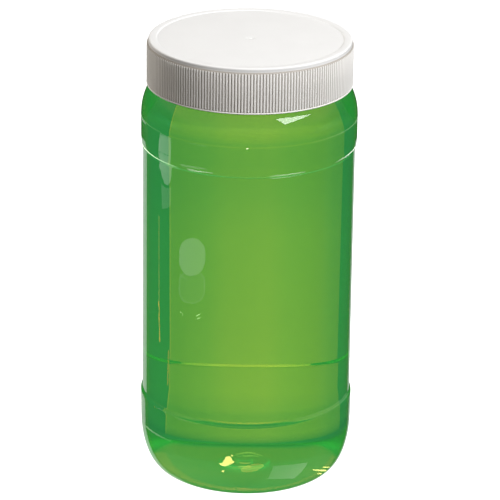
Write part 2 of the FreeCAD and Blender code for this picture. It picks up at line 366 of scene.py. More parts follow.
def side_points(inset, neck_r):
    """The jar's side, from the top of the heel to the foot of the neck."""
    low_band = (BAND_R - inset, LOWER_ROUND)
    low_step = (LOWER_STEP_R - inset, LOWER_STEP)
    low_panel = (PANEL_R - inset, LOWER_PANEL)
    top_panel = (PANEL_R - inset, UPPER_PANEL)
    top_step = (UPPER_STEP_R - inset, UPPER_STEP)
    top_band = (BAND_R - inset, UPPER_ROUND)
    shoulder = (BAND_R - inset, SHOULDER_Z)
    end = shoulder_end(inset, neck_r)
    points = straight((HEEL_R - inset, HEEL_TOP), low_band, WALL_ROW)
    low_radius = round_end(LOWER_STEP - LOWER_ROUND, BAND_R - LOWER_STEP_R)
    top_radius = round_end(UPPER_ROUND - UPPER_STEP, BAND_R - UPPER_STEP_R)
    points += bulged(low_band, low_step, low_radius, LOWER_ROUND_POINTS)[1:-1]
    points += straight(low_step, low_panel, WALL_ROW)[:-1]
    points += straight(low_panel, top_panel, PANEL_ROW)
    points += bulged(top_step, top_band, top_radius, UPPER_ROUND_POINTS)
    points += straight(top_band, (shoulder[0], shoulder[1] - 2 * BEAD_HALF), WALL_ROW)[1:]
    points += shoulder_bead(shoulder, inset) + [shoulder]
    points += bulged(shoulder, end, SHOULDER_ARC - inset, SHOULDER_POINTS)[1:]
    return points


def dome_points(lift):
    """The pushed-up base, from the axis out to the standing ring."""
    top = PUSH_UP + lift
    foot = (GATE_PIP_R + GATE_PIP_H, top - GATE_PIP_H)
    outer = (GATE_RING_R + GATE_RING_H, foot[1] - GATE_RING_H)
    rim = (STANDING_R - STANDING_FLAT, lift)
    crown = bulged(rim, outer, (rim[0] - outer[0]) * DOME_ROUND, DOME_POINTS)
    crown.reverse()
    return [(0.0, top), (GATE_PIP_R, top), foot, (GATE_RING_R, foot[1])] + crown


# ---------------------------------------------------------------- meshes
def ring(verts, radius_at, z, segments):
    """Adds one ring of vertices and gives its indices. radius_at takes the angle."""
    start = len(verts)
    for i in range(segments):
        turn = 2 * math.pi * i / segments
        radius = radius_at(turn) if callable(radius_at) else radius_at
        verts.append((radius * math.cos(turn), radius * math.sin(turn), z))
    return list(range(start, start + segments))


def bridge(faces, lower, upper):
    """Faces between two rings. One may have a whole number of times the other's segments."""
    if len(lower) == len(upper):
        count = len(lower)
        for i in range(count):
            j = (i + 1) % count
            faces.append((lower[i], lower[j], upper[j], upper[i]))
        return
    fine, coarse = (lower, upper) if len(lower) > len(upper) else (upper, lower)
    share = len(fine) // len(coarse)
    flip = fine is upper
    for i in range(len(coarse)):
        j = (i + 1) % len(coarse)
        for k in range(share):
            a = fine[i * share + k]
            b = fine[(i * share + k + 1) % len(fine)]
            tip = coarse[i] if k < share / 2 else coarse[j]
            faces.append((b, a, tip) if flip else (a, b, tip))
            if k == math.ceil(share / 2) - 1:
                faces.append((coarse[j], coarse[i], b) if not flip else (coarse[i], coarse[j], b))


def cap_off(verts, faces, loop, z, up):
    """Closes a ring with a fan about one point on the axis."""
    verts.append((0.0, 0.0, z))
    middle = len(verts) - 1
    for i in range(len(loop)):
        j = (i + 1) % len(loop)
        faces.append((loop[i], loop[j], middle) if up else (loop[j], loop[i], middle))


def finish_mesh(name, verts, faces, sharp_deg):
    """Makes the object, smooth with creases at sharp edges."""
    mesh = bpy.data.meshes.new(name)
    mesh.from_pydata(verts, [], faces)
    mesh.validate()
    mesh.shade_smooth()
    mesh.set_sharp_from_angle(angle=math.radians(sharp_deg))
    mesh.update()
    obj = bpy.data.objects.new(name, mesh)
    bpy.context.scene.collection.objects.link(obj)
    return obj


def lathe(name, outline, segments, sharp_deg=35.0):
    """A closed turned mesh from an outline that starts and ends on the axis, outside first.

    Each outline entry is (radius or function of the angle, height).
    """
    verts, faces = [], []
    loops = [ring(verts, r, z, segments) for r, z in outline[1:-1]]
    for lower, upper in zip(loops, loops[1:]):
        bridge(faces, lower, upper)
    cap_off(verts, faces, loops[0], outline[0][1], False)
    cap_off(verts, faces, loops[-1], outline[-1][1], True)
    return finish_mesh(name, verts, faces, sharp_deg)


def thread_height(turn, z, low_z):
    """How far a thread stands out at an angle and height, in metres."""
    best = 0.0
    total = THREAD_TURNS * 2 * math.pi
    for lap in range(2):
        swept = turn + lap * 2 * math.pi
        if swept > total:
            continue
        share = min(1.0, swept / RUN_OUT, (total - swept) / RUN_OUT)
        off = abs(z - low_z - PITCH * swept / (2 * math.pi))
        slope = (THREAD_ROOT_W - THREAD_TIP_W) / 2
        rise = (THREAD_ROOT_W / 2 - off) / slope
        best = max(best, min(1.0, max(0.0, rise)) * THREAD_H * share)
    return best


def threaded_rows(wall_r, low_z, from_z, to_z, outward):
    """Outline rows of a wall that carries a thread, as functions of the angle."""
    count = max(1, round(abs(to_z - from_z) / THREAD_ROW))
    rows = []
    for i in range(count + 1):
        z = from_z + (to_z - from_z) * i / count
        rows.append((lambda turn, z=z: wall_r + outward * thread_height(turn, z, low_z), z))
    return rows


# ---------------------------------------------------------------- pieces
def make_jar():
    """The clear jar: outside from the base up, over the lip and down the inside."""
    inner_r = NECK_R - NECK_WALL
    neck_foot = shoulder_end(0.0, NECK_R)
    thread_low = LIP_Z - THREAD_TOP_DROP - THREAD_TURNS * PITCH
    outline = dome_points(0.0)
    outline += heel_points(HEEL_R - STANDING_R, 0.0)
    outline += side_points(0.0, NECK_R)[1:]
    lip_low = LIP_Z - LIP_ROUND
    outline += threaded_rows(NECK_R, thread_low, neck_foot[1] + THREAD_ROW, lip_low, 1.0)
    outline += arc_points((NECK_R - LIP_ROUND, lip_low), LIP_ROUND, 0, 90, LIP_POINTS)[1:]
    outline += arc_points((inner_r + LIP_ROUND, lip_low), LIP_ROUND, 90, 180, LIP_POINTS)
    inside = dome_points(FLOOR_T)
    inside += heel_points(HEEL_R - WALL - STANDING_R, FLOOR_T)
    inside += side_points(WALL, inner_r)[1:]
    inside.reverse()
    return lathe("jar", outline + inside, JAR_SEGMENTS)


def make_solution():
    """The liquid, with a meniscus at the neck. It runs a hair into the wall, so that no air shows."""
    neck_r = NECK_R - NECK_WALL + LIQUID_OVERLAP
    inset = WALL - LIQUID_OVERLAP
    lift = FLOOR_T - LIQUID_OVERLAP
    level = LIQUID_HIGH.z
    low = level - MENISCUS_H
    outline = dome_points(lift)
    outline += heel_points(HEEL_R - inset - STANDING_R, lift)
    outline += side_points(inset, neck_r)[1:]
    outline += [(neck_r, level)]
    for i in range(1, MENISCUS_POINTS + 1):
        inward = MENISCUS_RUN * (i / MENISCUS_POINTS) ** MENISCUS_CROWDING
        outline.append((neck_r - inward, low + MENISCUS_H * math.exp(-inward / MENISCUS_FADE)))
    outline += [(neck_r * share, low) for share in SURFACE_RINGS]
    return lathe("solution", outline, JAR_SEGMENTS)


def rib_share(turn):
    """How far out the ribs stand at an angle, from 0 in a valley to 1 on a rib."""
    place = (turn * RIB_COUNT / (2 * math.pi)) % 1.0
    return RIB_PROFILE[round(place * RIB_STEPS) % RIB_STEPS]


def ribbed(out):
    """The radius of the ribbed skirt as a function of the angle, with the ribs standing out this far."""
    root_r = CAP_R - RIB_DEPTH
    height = RIB_DEPTH - BEAD_PROUD
    return lambda turn: root_r + height * out * rib_share(turn)


def cap_inside(roof_z):
    """The inside of the cap, from the roof down the threaded wall to the mouth."""
    thread_low = LIP_Z - THREAD_TOP_DROP - THREAD_TURNS * PITCH - CAP_THREAD_DROP
    corner = (CAP_INNER_R - ROOF_ROUND, roof_z - ROOF_ROUND)
    rows = [(CAP_INNER_R * 0.5, roof_z), (corner[0], roof_z)]
    rows += arc_points(corner, ROOF_ROUND, 90, 0, ROOF_ROUND_POINTS)[1:]
    rows += threaded_rows(CAP_INNER_R, thread_low, roof_z - ROOF_ROW, CAP_BOTTOM + MOUTH_ROW, -1.0)
    return rows + [(CAP_INNER_R + MOUTH_FLARE, CAP_BOTTOM)]


def cap_skirt():
    """The outside of the cap: bottom bead, ribs, ledge and smooth rim."""
    root_r = CAP_R - RIB_DEPTH
    low, high = CAP_BOTTOM + BEAD_H, CAP_TOP - RIB_TOP_DROP
    bead_r = BEAD_H / 2
    ledge_z = CAP_TOP - RIM_LEDGE_DROP
    rows = arc_points((CAP_R - bead_r, CAP_BOTTOM + bead_r), bead_r, -90, 60, BEAD_ROUND_POINTS)
    rows += [(root_r + RIB_FOOT_ROUND, low), (ribbed(1.0), low + RIB_FOOT_RUN)]
    rows += [(ribbed(1.0), (low + high) / 2), (ribbed(1.0), high - RIB_HEAD_RUN)]
    rows += [(ribbed(RIB_HEAD_SHARE), high - CAP_SOFT), (root_r, high)]
    rows += [(root_r - LEDGE_IN, high + CAP_SOFT), (RIM_R + LEDGE_OUT, ledge_z)]
    rows += [(RIM_R, ledge_z + LEDGE_SOFT)]
    rim = (RIM_R - RIM_ROUND, CAP_TOP - RIM_ROUND)
    return rows + arc_points(rim, RIM_ROUND, 0, 90, RIM_ROUND_POINTS)


def cap_panel():
    """The recessed panel of the cap's top, with its step and the gate mark in the middle."""
    rim_in = RIM_R - RIM_W
    panel_z = CAP_TOP - PANEL_RECESS
    rows = [(rim_in - inward, CAP_TOP - drop) for inward, drop in PANEL_EDGE]
    rows += [(rim_in - inward, panel_z + above) for inward, above in PANEL_STEP]
    rows += [(rim_in * share, panel_z) for share in PANEL_RINGS]
    return rows + [(radius, panel_z + above) for radius, above in GATE_MARK]


def make_cap():
    """The ribbed cap, from the middle of its roof's underside round the skirt to the top."""
    roof_z = CAP_TOP - PANEL_RECESS - CAP_TOP_T
    outside = cap_skirt() + cap_panel()
    verts, faces = [], []
    loops = [ring(verts, r, z, CAP_INNER_SEGMENTS) for r, z in cap_inside(roof_z)]
    loops += [ring(verts, r, z, RIB_COUNT * RIB_STEPS) for r, z in outside]
    for lower, upper in zip(loops, loops[1:]):
        bridge(faces, lower, upper)
    cap_off(verts, faces, loops[0], roof_z, False)
    cap_off(verts, faces, loops[-1], outside[-1][1], True)
    return finish_mesh("cap", verts, faces, CAP_SHARP_DEG)


def make_liner():
    """The foam disc, with soft edges and the lip's print pressed a little into its underside."""
    low, high = LINER_LOW.z, LINER_HIGH.z
    outer_r = LINER_HIGH.x
    corner_r = outer_r - LINER_SOFT
    print_in = NECK_R - NECK_WALL
    outline = [(0.0, low), (print_in * 0.5, low), (print_in - PRINT_SLOPE_IN, low)]
    outline += [(print_in, low + PRINT_DEPTH), (NECK_R, low + PRINT_DEPTH), (NECK_R + PRINT_SLOPE_OUT, low)]
    outline += arc_points((corner_r, low + LINER_SOFT), LINER_SOFT, -90, 0, LINER_ROUND_POINTS)
    outline += arc_points((corner_r, high - LINER_SOFT), LINER_SOFT, 0, 90, LINER_ROUND_POINTS)
    outline += [(outer_r * 0.5, high), (0.0, high)]
    return lathe("liner", outline, LINER_SEGMENTS)


# ---------------------------------------------------------------- materials
def principled(name, **values):
    """A new material with one Principled shader, and that shader."""
    material = bpy.data.materials.new(name)
    material.use_nodes = True
    shader = material.node_tree.nodes["Principled BSDF"]
    for socket, value in values.items():
        shader.inputs[socket.replace("_", " ")].default_value = value
    return material, shader


def noise(tree, scale, detail=3.0, roughness=0.5):
    """A noise texture in object space."""
    place = tree.nodes.new("ShaderNodeTexCoord")
    node = tree.nodes.new("ShaderNodeTexNoise")
    node.inputs["Scale"].default_value = scale
    node.inputs["Detail"].default_value = detail
    node.inputs["Roughness"].default_value = roughness
    tree.links.new(place.outputs["Object"], node.inputs["Vector"])
    return node.outputs["Fac"]


def ramp(tree, source, ends, low_at=0.3, high_at=0.7):
    """Turns a 0 to 1 value into a colour or grey between two ends."""
    node = tree.nodes.new("ShaderNodeValToRGB")
    for element, at, value in zip(node.color_ramp.elements, (low_at, high_at), ends):
        element.position = at
        element.color = (*value, 1.0)
    tree.links.new(source, node.inputs["Fac"])
    return node.outputs["Color"]


def axis_parts(tree, space="Object"):
    """The three parts of a place. In object space every piece's own axis is the jar's axis."""
    place = tree.nodes.new("ShaderNodeTexCoord")
    split = tree.nodes.new("ShaderNodeSeparateXYZ")
    tree.links.new(place.outputs[space], split.inputs["Vector"])
    return split.outputs


def maths(tree, operation, first, second):
    """A maths node fed with sockets or numbers."""
    node = tree.nodes.new("ShaderNodeMath")
    node.operation = operation
    for socket, value in zip(node.inputs, (first, second)):
        if isinstance(value, float):
            socket.default_value = value
        else:
            tree.links.new(value, socket)
    return node.outputs["Value"]


def from_axis(tree, near, far):
    """0 at one distance from the axis and 1 at another."""
    place = axis_parts(tree)
    across = maths(tree, "MULTIPLY", place["X"], place["X"])
    along = maths(tree, "MULTIPLY", place["Y"], place["Y"])
    radius = maths(tree, "SQRT", maths(tree, "ADD", across, along), 0.0)
    return maths(tree, "DIVIDE", maths(tree, "SUBTRACT", radius, near), far - near)


def step_at(tree, height):
    """0 below a height and 1 above it."""
    return maths(tree, "GREATER_THAN", axis_parts(tree)["Z"], height)


def mixed(tree, kind, factor, *colours):
    """A colour mix node, fed with sockets, or with numbers and colours."""
    node = tree.nodes.new("ShaderNodeMix")
    node.data_type = "RGBA"
    node.blend_type = kind
    into = [node.inputs["Factor"]] + [socket for socket in node.inputs if socket.type == "RGBA"]
    for socket, value in zip(into, (factor, *colours)):
        if isinstance(value, (float, tuple)):
            socket.default_value = value
        else:
            tree.links.new(value, socket)
    return [socket for socket in node.outputs if socket.type == "RGBA"][0]


def bump(tree, shader, source, strength, distance):
    """Feeds a height into the shader's normal."""
    node = tree.nodes.new("ShaderNodeBump")
    node.inputs["Strength"].default_value = strength
    node.inputs["Distance"].default_value = distance
    tree.links.new(source, node.inputs["Height"])
    tree.links.new(node.outputs["Normal"], shader.inputs["Normal"])


def cap_material():
    """Satin white polypropylene with a moulded part's mottle, and painted shade: greyer between the ribs
    and darker round the rim's edge.
    """
    material, shader = principled("white_polypropylene", IOR=POLYPROPYLENE_IOR)
    shader.inputs["Specular IOR Level"].default_value = CAP_SPECULAR
    tree = material.node_tree
    mottle = ramp(tree, noise(tree, 60.0), CAP_TINTS)
    # Painted shade: greyer towards the roots of the ribs, and darker out at the rim's edge above the ledge.
    rib_gap_shade = ramp(tree, from_axis(tree, CAP_R - RIB_DEPTH, CAP_R - BEAD_PROUD), RIB_GAP_SHADE_TINTS, 0.1, 0.85)
    edge = ramp(tree, from_axis(tree, RIM_R - RIM_SHADE_RUN, RIM_R), RIM_EDGE_SHADE_TINTS, 0.2, 0.8)
    shade = mixed(tree, "MIX", step_at(tree, CAP_TOP - RIM_LEDGE_DROP), rib_gap_shade, edge)
    tree.links.new(mixed(tree, "MULTIPLY", 1.0, mottle, shade), shader.inputs["Base Color"])
    tree.links.new(ramp(tree, noise(tree, 220.0), CAP_ROUGH), shader.inputs["Roughness"])
    bump(tree, shader, noise(tree, 2600.0, 2.0), 0.12, 0.00005)
    return material


def jar_material():
    """Clear blown PET, with the slight waviness of a blown wall."""
    material, shader = principled("clear_pet", IOR=PET_IOR, Roughness=0.0)
    shader.inputs["Transmission Weight"].default_value = 1.0
    tree = material.node_tree
    tree.links.new(ramp(tree, noise(tree, 30.0), PET_TINTS), shader.inputs["Base Color"])
    bump(tree, shader, noise(tree, 22.0, 1.0), 0.008, 0.001)
    return material


def solution_material():
    """Clear green liquid: colour comes from the depth of liquid that light crosses, plus a faint painted
    green glow of its own.
    """
    material, shader = principled("green_solution", IOR=LIQUID_IOR, Roughness=0.0)
    material.cycles.emission_sampling = "NONE"
    # Painted glow on the liquid, faint and green.
    shader.inputs["Emission Color"].default_value = LIQUID_GLOW
    shader.inputs["Emission Strength"].default_value = LIQUID_GLOW_STRENGTH
    shader.inputs["Transmission Weight"].default_value = 1.0
    tree = material.node_tree
    tree.links.new(ramp(tree, noise(tree, 25.0), LIQUID_TINTS), shader.inputs["Base Color"])
    absorb = tree.nodes.new("ShaderNodeVolumeAbsorption")
    absorb.inputs["Color"].default_value = LIQUID_ABSORBS
    absorb.inputs["Density"].default_value = LIQUID_DENSITY
    tree.links.new(absorb.outputs["Volume"], tree.nodes["Material Output"].inputs["Volume"])
    return material


def liner_material():
    """White closed-cell foam with its fine skin texture, and a painted white glow that stands in for light
    coming through the cap.
    """
    material, shader = principled("white_foam")
    # Painted glow on the liner, standing in for light through the cap.
    shader.inputs["Emission Color"].default_value = FOAM_GLOW
    shader.inputs["Emission Strength"].default_value = FOAM_GLOW_STRENGTH
    tree = material.node_tree
    tree.links.new(ramp(tree, noise(tree, 500.0), FOAM_TINTS), shader.inputs["Base Color"])
    tree.links.new(ramp(tree, noise(tree, 150.0), FOAM_ROUGH), shader.inputs["Roughness"])
    bump(tree, shader, noise(tree, 1800.0, 2.0), 0.3, 0.0001)
    return material


def dress(obj, material, body, node):
    """Gives a piece its material and its body, and hides the imported node that it stands for."""
    obj.data.materials.append(material)
    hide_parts(node)
    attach(obj, body)


# ---------------------------------------------------------------- studio
def glow_material(name):
    """An emitter that shows a mesh's own painted glow. It lights nothing: it is only seen in the jar."""
    material = bpy.data.materials.new(name)
    material.use_nodes = True
    material.cycles.emission_sampling = "NONE"
    tree = material.node_tree
    tree.nodes.remove(tree.nodes["Principled BSDF"])
    paint = tree.nodes.new("ShaderNodeAttribute")
    paint.attribute_name = "glow"
    glow = tree.nodes.new("ShaderNodeEmission")
    tree.links.new(paint.outputs["Color"], glow.inputs["Color"])
    tree.links.new(glow.outputs["Emission"], tree.nodes["Material Output"].inputs["Surface"])
    return material


def seen_only_by(obj, *rays):
    """Limits which rays see a stage object."""
    for kind in ("camera", "diffuse", "glossy", "transmission", "volume_scatter", "shadow"):
        setattr(obj, "visible_" + kind, kind in rays)


def grey(level):
    """A neutral glow."""
    return (level, level, level)


def between(table, place):
    """Reads a table of (place, value...) rows, straight between rows."""
    if place <= table[0][0]:
        return table[0][1:]
    for low, high in zip(table, table[1:]):
        if place <= high[0]:
            share = (place - low[0]) / (high[0] - low[0])
            return tuple(a + (b - a) * share for a, b in zip(low[1:], high[1:]))
    return table[-1][1:]


def strip_faces(count):
    """Faces of a strip whose points come in pairs, one pair for each end of count steps."""
    return [(2 * i, 2 * i + 1, 2 * i + 3, 2 * i + 2) for i in range(count)]


def steps_through(table, widest):
    """The table's places, with more between them wherever they lie further apart than widest."""
    places = [table[0][0]]
    for row in table[1:]:
        run = row[0] - places[-1]
        count = max(1, math.ceil(run / widest - 1e-6))
        places += [places[-1] + run * (i + 1) / count for i in range(count)]
    return places


def toward(azimuth, elevation, distance):
    """A point that far from the jar. Azimuth 0 is behind it, and positive is to the right."""
    a, e = math.radians(azimuth), math.radians(elevation)
    level = distance * math.cos(e)
    return (level * math.sin(a), level * math.cos(a), distance * math.sin(e))


def painted(name, verts, faces, colours, rays):
    """A stage mesh with a glow painted on its points."""
    mesh = bpy.data.meshes.new(name)
    mesh.from_pydata(verts, [], faces)
    paint = mesh.attributes.new("glow", "FLOAT_COLOR", "POINT")
    for entry, colour in zip(paint.data, colours):
        entry.color = (*colour, 1.0)
    obj = bpy.data.objects.new(name, mesh)
    bpy.context.scene.collection.objects.link(obj)
    mesh.materials.append(glow_material(name))
    seen_only_by(obj, *rays)
    return obj


def card(name, azimuths, elevations, levels, distance, rays):
    """A curved card between two azimuths and two elevations, brightness given at its two sides."""
    run = azimuths[1] - azimuths[0]
    count = max(2, round(run / CARD_STEP_DEG))
    verts, colours = [], []
    for i in range(count + 1):
        share = i / count
        glow = levels[0] + (levels[1] - levels[0]) * share
        for elevation in elevations:
            verts.append(toward(azimuths[0] + run * share, elevation, distance))
            colours.append(grey(glow))
    return painted(name, verts, strip_faces(count), colours, rays)


def fade_out(tree, shader):
    """Fades the floor into the backdrop's own white, so that no horizon shows."""
    glow = tree.nodes.new("ShaderNodeEmission")
    glow.inputs["Color"].default_value = BACKDROP
    mix = tree.nodes.new("ShaderNodeMixShader")
    share = ramp(tree, from_axis(tree, FADE_NEAR, FADE_FAR), (BLACK, PLAIN), 0.0, 1.0)
    tree.links.new(share, mix.inputs[0])
    tree.links.new(shader.outputs["BSDF"], mix.inputs[1])
    tree.links.new(glow.outputs["Emission"], mix.inputs[2])
    tree.links.new(mix.outputs["Shader"], tree.nodes["Material Output"].inputs["Surface"])


def make_floor():
    """A wide pale floor, seen by the camera alone: the jar shows the studio round it instead."""
    corners = ((-1, -1), (1, -1), (1, 1), (-1, 1))
    verts = [(x * FLOOR_HALF, y * FLOOR_HALF, 0.0) for x, y in corners]
    floor = finish_mesh("floor", verts, [(0, 1, 2, 3)], 180.0)
    material, shader = principled("floor_white", Roughness=0.9)
    tree = material.node_tree
    tree.links.new(ramp(tree, noise(tree, 4.0), FLOOR_TINTS), shader.inputs["Base Color"])
    shader.inputs["Specular IOR Level"].default_value = 0.0
    fade_out(tree, shader)
    floor.data.materials.append(material)
    seen_only_by(floor, "camera")
    return floor


def make_world():
    """White to the camera, and soft grey air above a dark horizon to everything else."""
    world = bpy.data.worlds.new("studio")
    bpy.context.scene.world = world
    world.use_nodes = True
    tree = world.node_tree
    rise = axis_parts(tree, "Generated")["Z"]
    air = ramp(tree, rise, (HORIZON, AIR), 0.0, AIR_FULL_AT)
    path = tree.nodes.new("ShaderNodeLightPath")
    colour = mixed(tree, "MIX", path.outputs["Is Camera Ray"], air, BACKDROP)
    tree.links.new(colour, tree.nodes["Background"].inputs["Color"])


def tent_colour(azimuth, elevation):
    """The tent's glow in one direction."""
    spread = RIDGE_SPREAD if elevation < RIDGE_BELOW else 1.0
    window = between(TENT_ROUND, azimuth * spread)
    if elevation > TENT_RISE[-1][0]:
        lobe = 1 + (LOBE * math.cos(4 * math.radians(azimuth)) if elevation < LOBE_TOP else 0.0)
        above = [c * lobe for c in between(TENT_ABOVE, elevation)]
        share = min(1.0, max(0.0, (abs(azimuth) - FRONT_FROM) / FRONT_RUN))
        return tuple(a + (w - a) * share for a, w in zip(above, window))
    return tuple(c * n for c, n in zip(window, between(TENT_RISE, elevation)))


def make_tent():
    """The studio round the jar as its refraction shows it: a painted glow of bright windows with darker
    flags between.
    """
    turns = steps_through(TENT_ROUND, TENT_GRID_DEG)
    rises = steps_through([(-90.0,)] + TENT_RISE + TENT_ABOVE, TENT_GRID_DEG)
    verts, colours, faces = [], [], []
    for elevation in rises:
        for azimuth in turns:
            verts.append(toward(azimuth, elevation, TENT_RADIUS))
            colours.append(tent_colour(azimuth, elevation))
    wide = len(turns)
    for row in range(len(rises) - 1):
        for i in range(wide - 1):
            start = row * wide + i
            faces.append((start, start + 1, start + 1 + wide, start + wide))
    painted("tent", verts, faces, colours, ("transmission",))


def wall_at(height):
    """The jar's outer radius at a height, and how far the wall there tips up, in radians."""
    if height < HEEL_TOP:
        level = 1 - height / HEEL_TOP
        across = math.sqrt(1 - level * level)
        reach = HEEL_R - STANDING_R
        return STANDING_R + reach * across, -math.atan2(level / HEEL_TOP, across / reach)
    if LOWER_STEP < height < LOWER_PANEL:
        return PANEL_R, math.atan2(LOWER_STEP_R - PANEL_R, LOWER_PANEL - LOWER_STEP)
    if UPPER_STEP < height < UPPER_ROUND:
        below = UPPER_ROUND - height
        curve = (BAND_R - UPPER_STEP_R) / (UPPER_ROUND - UPPER_STEP) ** 2
        return BAND_R - curve * below * below, -math.atan(2 * curve * below)
    return (PANEL_R if LOWER_PANEL <= height <= UPPER_PANEL else BAND_R), 0.0


def mirrored(turn_deg, height_mm, distance):
    """Where the camera's line of sight lands after it reflects off the jar's side."""
    turn = math.radians(turn_deg)
    radius, tilt = wall_at(height_mm * MM)
    around = Vector((math.sin(turn), -math.cos(turn), 0.0))
    outward = around * math.cos(tilt) + Vector((0.0, 0.0, math.sin(tilt)))
    spot = around * radius + Vector((0.0, 0.0, height_mm * MM))
    sight = (spot - CAMERA_PLACE).normalized()
    return spot + (sight - outward * 2 * sight.dot(outward)) * distance


def shine(name, outline, fill, distance=0.35, rim=None):
    """A card whose reflection on the jar's side has this outline of (turn in degrees, height in mm)."""
    middle = tuple(sum(p[k] for p in outline) / len(outline) for k in (0, 1))
    inner = [tuple(middle[k] + (p[k] - middle[k]) * RIM_SHARE for k in (0, 1)) for p in outline]
    count = len(outline)
    verts = [mirrored(t, h, distance) for t, h in [middle] + inner + outline]
    faces = []
    for i in range(count):
        j = (i + 1) % count
        faces.append((0, i + 1, j + 1))
        faces.append((i + 1, count + i + 1, count + j + 1, j + 1))
    colours = [fill] * (count + 1) + [rim or fill] * count
    return painted(name, verts, faces, colours, ("glossy",))


def streak(name, path, half, colour, distance):
    """A thin card whose reflection follows a path of (turn, height in mm, level) along the jar's side."""
    first, last = path[0][0], path[-1][0]
    count = max(2, round(abs(last - first) / STREAK_STEP_DEG))
    verts, colours = [], []
    for i in range(count + 1):
        turn = first + (last - first) * i / count
        height, level = between(path, turn)
        for edge in (-half, half):
            verts.append(mirrored(turn, height + edge, distance))
            colours.append(tuple(c * level for c in colour))
    return painted(name, verts, strip_faces(count), colours, ("glossy",))


def capsule(turn_deg, half_turn, low, high, round_h):
    """The outline on the wall of a capsule that looks upright, with elliptical ends."""
    points = []
    for i in range(CAPSULE_POINTS):
        a = math.pi * 2 * i / CAPSULE_POINTS
        across = half_turn * math.cos(a)
        middle = high - round_h if a < math.pi else low + round_h
        points.append((turn_deg + across, middle + round_h * math.sin(a) + CAPSULE_TILT * across))
    return points


def make_windows():
    """Reflections of the studio's windows and softboxes."""
    tall = [(-55.2, 158.9), (-54.9, 163.8), (-53.6, 167.6), (-45.6, 168.5), (-44.6, 165.0), (-44.8, 158.9)]
    foot = [(-55.2, 158.8), (-44.8, 158.8), (-45.2, 154.8), (-54.4, 154.6)]
    low = [(-55.0, 153.8), (-45.3, 154.0), (-45.4, 150.0), (-46.3, 146.6)]
    low += [(-48.2, 144.8), (-51.2, 145.0), (-53.4, 147.6), (-54.6, 150.5)]
    tail = [(-54.0, 144.2), (-45.6, 144.4), (-45.9, 135.9), (-53.2, 132.8)]
    oval_tail = capsule(-31.2, 8.3, 92.6, 108.5, 5.6)
    oval_arc = [(-38.8, 105.0, 0.9), (-36.0, 103.9, 0.9), (-31.5, 103.6, 0.2)]
    shine("shine_tall", tall, grey(1.5))
    shine("shine_foot", foot, grey(1.5), 0.02)
    shine("shine_low", low, grey(1.4))
    shine("shine_tail", tail, grey(0.55))
    shine("shine_oval", capsule(-31.2, 8.3, 105.8, 123.8, 7.6), grey(1.35))
    shine("shine_oval_tail", oval_tail, grey(0.28), 0.36, grey(1.0))
    streak("shine_oval_arc", oval_arc, FINE_HALF, WHITE, SMALL_FAR)
    card("edge_rear", (-34, 22), (-50, -18.2), (0.75, 0.5), 8.0, ("glossy",))
    card("base_pale", (98, 146), (-56, -38), (1.35, 0.9), 6.0, ("glossy",))
    corners = [toward(a, e, 3.0) for a, e in ((148.2, 37.5), (104.1, 28.8), (140.6, 25.2))]
    painted("shoulder", corners, [(0, 1, 2)], [grey(10.0)] * 3, ("glossy",))


def make_line_glints():
    """Thin lights along the mould lines, as (turn, height in mm, level) paths."""
    left = [(-84, 155.3, 1.0), (-70, 155.3, 4.5), (-50, 155.0, 5.5), (-40, 154.9, 0.5)]
    streak("groove_left", left, LINE_HALF, GREENISH, CLOSE)
    glint_a = [(-34, 155.3, 3.0), (-28, 155.4, 7.0), (-19, 155.6, 1.5)]
    streak("groove_glint_a", glint_a, LINE_HALF, WHITE, CLOSE)
    glint_b = [(11, 155.1, 2.0), (22, 155.2, 6.0), (31, 155.3, 1.5)]
    streak("groove_glint_b", glint_b, LINE_HALF, WHITE, CLOSE)
    right = [(52, 155.5, 0.3), (62, 155.8, 4.0), (80, 155.8, 3.0)]
    streak("groove_right", right, LINE_HALF, WHITE, CLOSE)
    ridge = [(28, 37.2, 0.4), (50, 37.2, 0.9), (78, 37.2, 0.5)]
    streak("ridge_right", ridge, LINE_HALF, GREENISH, TOUCHING * 1.5)
    front = [(-26, 38.5, 0.2), (0, 38.3, 1.0), (25, 38.5, 0.2)]
    streak("ridge_front", front, FINE_HALF, GOLD, HEEL_FAR)
    shoulder = [(-84, 168.3, 0.5), (-52, 168.3, 0.3)]
    streak("shoulder_left", shoulder, LINE_HALF, GREENISH, TOUCHING)
    shoulder = [(34, 168.3, 0.3), (60, 168.3, 0.9), (84, 168.3, 0.4)]
    streak("shoulder_right", shoulder, LINE_HALF, GREENISH, TOUCHING)
    heel = [(-78, 22.0, 0.6), (-60, 22.8, 1.6), (-44, 23.2, 0.5)]
    streak("heel_left", heel, LINE_HALF, GREENISH, HEEL_FAR)


